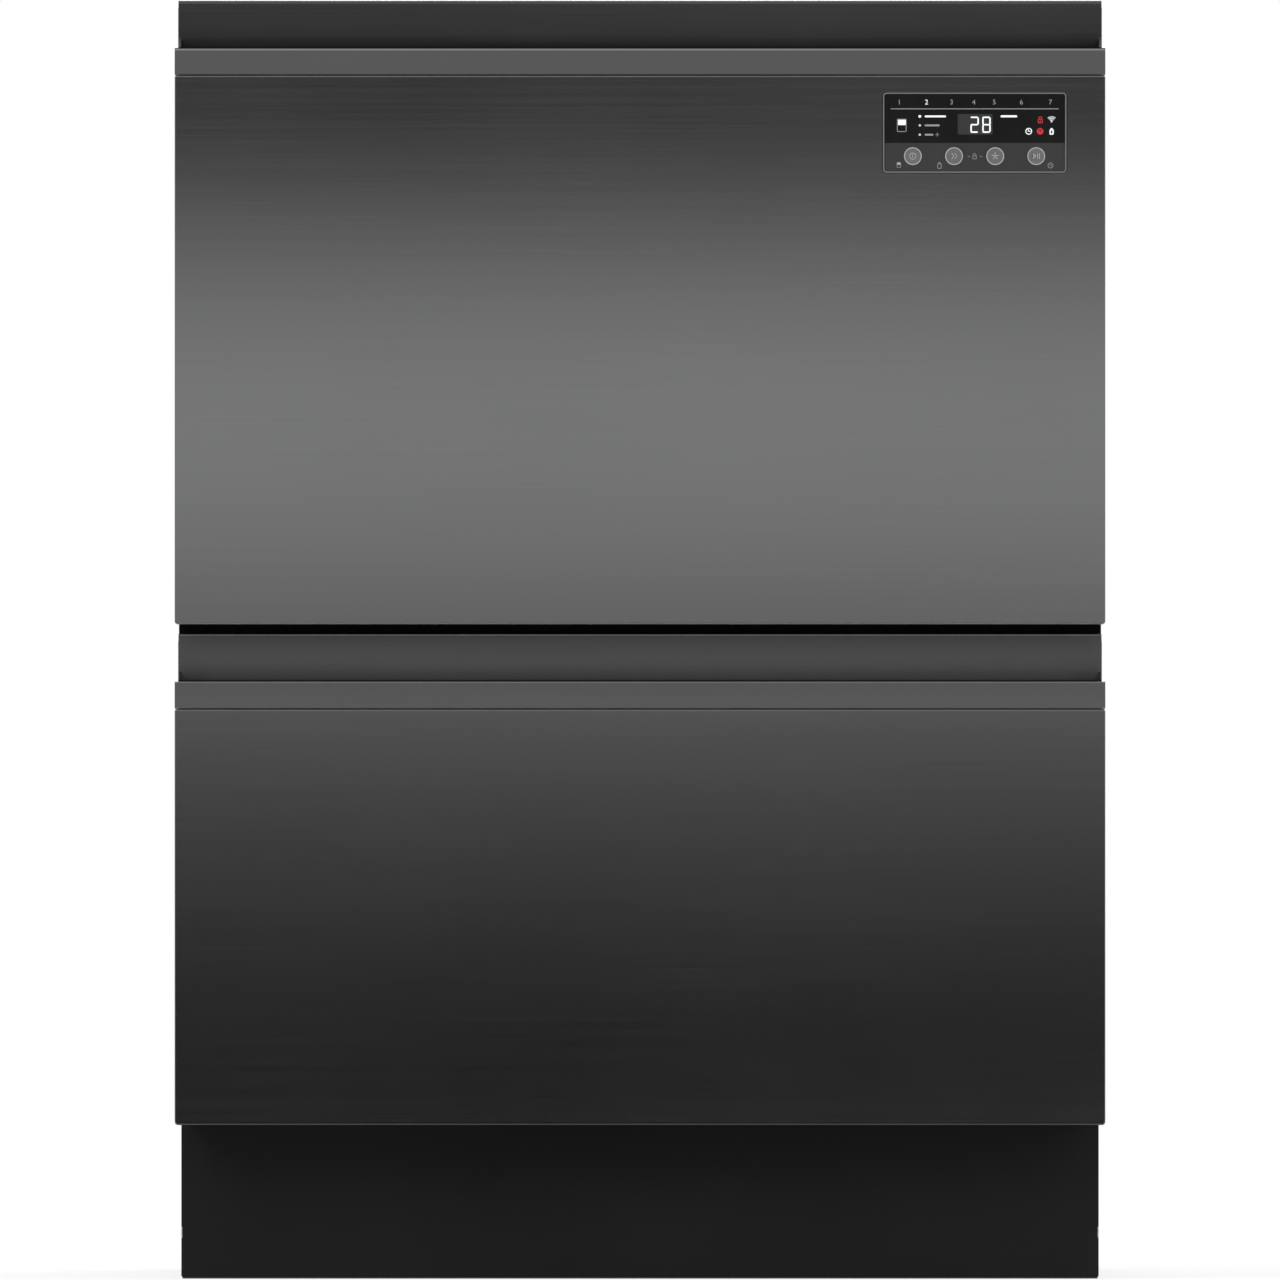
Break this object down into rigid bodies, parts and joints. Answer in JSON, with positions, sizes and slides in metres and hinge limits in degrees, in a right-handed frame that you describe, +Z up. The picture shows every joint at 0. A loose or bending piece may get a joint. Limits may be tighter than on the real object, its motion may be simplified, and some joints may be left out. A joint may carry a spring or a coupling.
{
  "type": "dishwasher drawer",
  "caption": "Built-in dishwasher with two stacked drawers on telescopic runners, recessed full-width handles, a touch panel at the upper right and a toe kick.",
  "frame": {"origin": "on the floor, under the middle of the overall box, with the feet screwed in", "axes": "+Z up; -Y the front, where the drawers pull out; +X the right-hand side seen from the front"},
  "size_m": [0.599, 0.573, 0.8235],
  "materials": {
    "front_steel": "black stainless steel, brushed across, satin",
    "cabinet_steel": "galvanised sheet steel",
    "runner_zinc": "zinc-plated steel",
    "black_paint": "black powder coat",
    "liner_paint": "grey painted steel",
    "tub_plastic": "light grey polypropylene",
    "lid_plastic": "grey polypropylene",
    "rack_wire": "steel wire coated with grey nylon",
    "basket_plastic": "grey polypropylene",
    "spray_plastic": "grey moulded plastic",
    "filter_plastic": "dark grey moulded plastic",
    "motor_plastic": "black glass-filled plastic",
    "fascia_gloss": "black gloss plastic",
    "button_plastic": "grey plastic",
    "valve_plastic": "white plastic"
  },
  "bodies": {
    "cabinet": {"side_panel_right": "cabinet_steel", "side_panel_left": "cabinet_steel", "top_panel": "cabinet_steel", "rear_panel": "cabinet_steel", "base_tray": "cabinet_steel", "centre_brace": "black_paint", "toe_kick": "black_paint", "control_module": "motor_plastic", "inlet_valve": "valve_plastic", "upper_runner_outer_right": "runner_zinc", "upper_runner_outer_left": "runner_zinc", "upper_lid_lifter_right": "motor_plastic", "upper_lid_lifter_left": "motor_plastic", "lower_runner_outer_right": "runner_zinc", "lower_runner_outer_left": "runner_zinc", "lower_lid_lifter_right": "motor_plastic", "lower_lid_lifter_left": "motor_plastic"},
    "foot_front_left": {"foot_front_left": "motor_plastic"},
    "foot_front_right": {"foot_front_right": "motor_plastic"},
    "foot_rear_left": {"foot_rear_left": "motor_plastic"},
    "foot_rear_right": {"foot_rear_right": "motor_plastic"},
    "upper_lid": {"upper_lid": "lid_plastic"},
    "upper_runner_middle_right": {"upper_runner_middle_right": "runner_zinc"},
    "upper_runner_middle_left": {"upper_runner_middle_left": "runner_zinc"},
    "upper_drawer": {"upper_front_panel": "front_steel", "upper_handle": "front_steel", "upper_front_liner": "liner_paint", "upper_tub": "tub_plastic", "upper_runner_inner_right": "runner_zinc", "upper_runner_inner_left": "runner_zinc", "upper_wash_motor": "motor_plastic", "upper_filter_plate": "filter_plastic", "upper_rack": "rack_wire", "upper_dispenser": "spray_plastic", "upper_cutlery_basket": "basket_plastic", "control_fascia": "fascia_gloss"},
    "upper_spray_arm": {"upper_spray_arm": "spray_plastic"},
    "upper_folding_tines": {"upper_folding_tines": "rack_wire"},
    "upper_dispenser_door": {"upper_dispenser_door": "spray_plastic"},
    "lower_lid": {"lower_lid": "lid_plastic"},
    "lower_runner_middle_right": {"lower_runner_middle_right": "runner_zinc"},
    "lower_runner_middle_left": {"lower_runner_middle_left": "runner_zinc"},
    "lower_drawer": {"lower_front_panel": "front_steel", "lower_handle": "front_steel", "lower_front_liner": "liner_paint", "lower_tub": "tub_plastic", "lower_runner_inner_right": "runner_zinc", "lower_runner_inner_left": "runner_zinc", "lower_wash_motor": "motor_plastic", "lower_filter_plate": "filter_plastic", "lower_rack": "rack_wire", "lower_dispenser": "spray_plastic"},
    "lower_spray_arm": {"lower_spray_arm": "spray_plastic"},
    "lower_folding_tines": {"lower_folding_tines": "rack_wire"},
    "lower_dispenser_door": {"lower_dispenser_door": "spray_plastic"},
    "upper_cup_rack": {"upper_cup_rack": "rack_wire"},
    "power_button": {"power_button": "button_plastic"},
    "program_button": {"program_button": "button_plastic"},
    "option_button": {"option_button": "button_plastic"},
    "start_button": {"start_button": "button_plastic"}
  },
  "joints": [
    {"name": "upper_drawer_slide", "type": "slide", "parent": "cabinet", "child": "upper_drawer", "axis": [0, -1, 0], "range_m": [0, 0.5]},
    {"name": "upper_runner_slide_right", "type": "slide", "parent": "cabinet", "child": "upper_runner_middle_right", "axis": [0, -1, 0], "range_m": [0, 0.25]},
    {"name": "upper_runner_slide_left", "type": "slide", "parent": "cabinet", "child": "upper_runner_middle_left", "axis": [0, -1, 0], "range_m": [0, 0.25]},
    {"name": "upper_lid_lift", "type": "slide", "parent": "cabinet", "child": "upper_lid", "axis": [0, 0, 1], "range_m": [0, 0.01]},
    {"name": "upper_spray_arm_spin", "type": "hinge", "parent": "upper_drawer", "child": "upper_spray_arm", "pos_m": [0, -0.003, 0.5197], "axis": [0, 0, 1], "continuous": true},
    {"name": "upper_tines_fold", "type": "hinge", "parent": "upper_drawer", "child": "upper_folding_tines", "pos_m": [-0.075, -0.003, 0.544], "axis": [0, 1, 0], "range_deg": [0, 90]},
    {"name": "upper_dispenser_door_hinge", "type": "hinge", "parent": "upper_drawer", "child": "upper_dispenser_door", "pos_m": [-0.02, -0.2242, 0.7032], "axis": [-1, 0, 0], "range_deg": [0, 90]},
    {"name": "lower_drawer_slide", "type": "slide", "parent": "cabinet", "child": "lower_drawer", "axis": [0, -1, 0], "range_m": [0, 0.5]},
    {"name": "lower_runner_slide_right", "type": "slide", "parent": "cabinet", "child": "lower_runner_middle_right", "axis": [0, -1, 0], "range_m": [0, 0.25]},
    {"name": "lower_runner_slide_left", "type": "slide", "parent": "cabinet", "child": "lower_runner_middle_left", "axis": [0, -1, 0], "range_m": [0, 0.25]},
    {"name": "lower_lid_lift", "type": "slide", "parent": "cabinet", "child": "lower_lid", "axis": [0, 0, 1], "range_m": [0, 0.01]},
    {"name": "lower_spray_arm_spin", "type": "hinge", "parent": "lower_drawer", "child": "lower_spray_arm", "pos_m": [0, -0.003, 0.154], "axis": [0, 0, 1], "continuous": true},
    {"name": "lower_tines_fold", "type": "hinge", "parent": "lower_drawer", "child": "lower_folding_tines", "pos_m": [-0.075, -0.003, 0.1783], "axis": [0, 1, 0], "range_deg": [0, 90]},
    {"name": "lower_dispenser_door_hinge", "type": "hinge", "parent": "lower_drawer", "child": "lower_dispenser_door", "pos_m": [-0.02, -0.2242, 0.3375], "axis": [-1, 0, 0], "range_deg": [0, 90]},
    {"name": "upper_cup_rack_fold", "type": "hinge", "parent": "upper_drawer", "child": "upper_cup_rack", "pos_m": [0.245, -0.003, 0.6517], "axis": [0, 1, 0], "range_deg": [0, 90]},
    {"name": "foot_front_left_screw", "type": "slide", "parent": "cabinet", "child": "foot_front_left", "axis": [0, 0, -1], "range_m": [0, 0.06]},
    {"name": "foot_front_right_screw", "type": "slide", "parent": "cabinet", "child": "foot_front_right", "axis": [0, 0, -1], "range_m": [0, 0.06]},
    {"name": "foot_rear_left_screw", "type": "slide", "parent": "cabinet", "child": "foot_rear_left", "axis": [0, 0, -1], "range_m": [0, 0.06]},
    {"name": "foot_rear_right_screw", "type": "slide", "parent": "cabinet", "child": "foot_rear_right", "axis": [0, 0, -1], "range_m": [0, 0.06]},
    {"name": "power_button_press", "type": "slide", "parent": "upper_drawer", "child": "power_button", "axis": [0, 1, 0], "range_m": [0, 0.0008], "stiffness_N_per_m": 500, "springref_m": -0.002},
    {"name": "program_button_press", "type": "slide", "parent": "upper_drawer", "child": "program_button", "axis": [0, 1, 0], "range_m": [0, 0.0008], "stiffness_N_per_m": 500, "springref_m": -0.002},
    {"name": "option_button_press", "type": "slide", "parent": "upper_drawer", "child": "option_button", "axis": [0, 1, 0], "range_m": [0, 0.0008], "stiffness_N_per_m": 500, "springref_m": -0.002},
    {"name": "start_button_press", "type": "slide", "parent": "upper_drawer", "child": "start_button", "axis": [0, 1, 0], "range_m": [0, 0.0008], "stiffness_N_per_m": 500, "springref_m": -0.002}
  ],
  "couplings": [
    {"joint": "upper_runner_slide_right", "follows": "upper_drawer_slide", "ratio": 0.5},
    {"joint": "upper_runner_slide_left", "follows": "upper_drawer_slide", "ratio": 0.5},
    {"joint": "lower_runner_slide_right", "follows": "lower_drawer_slide", "ratio": 0.5},
    {"joint": "lower_runner_slide_left", "follows": "lower_drawer_slide", "ratio": 0.5}
  ]
}
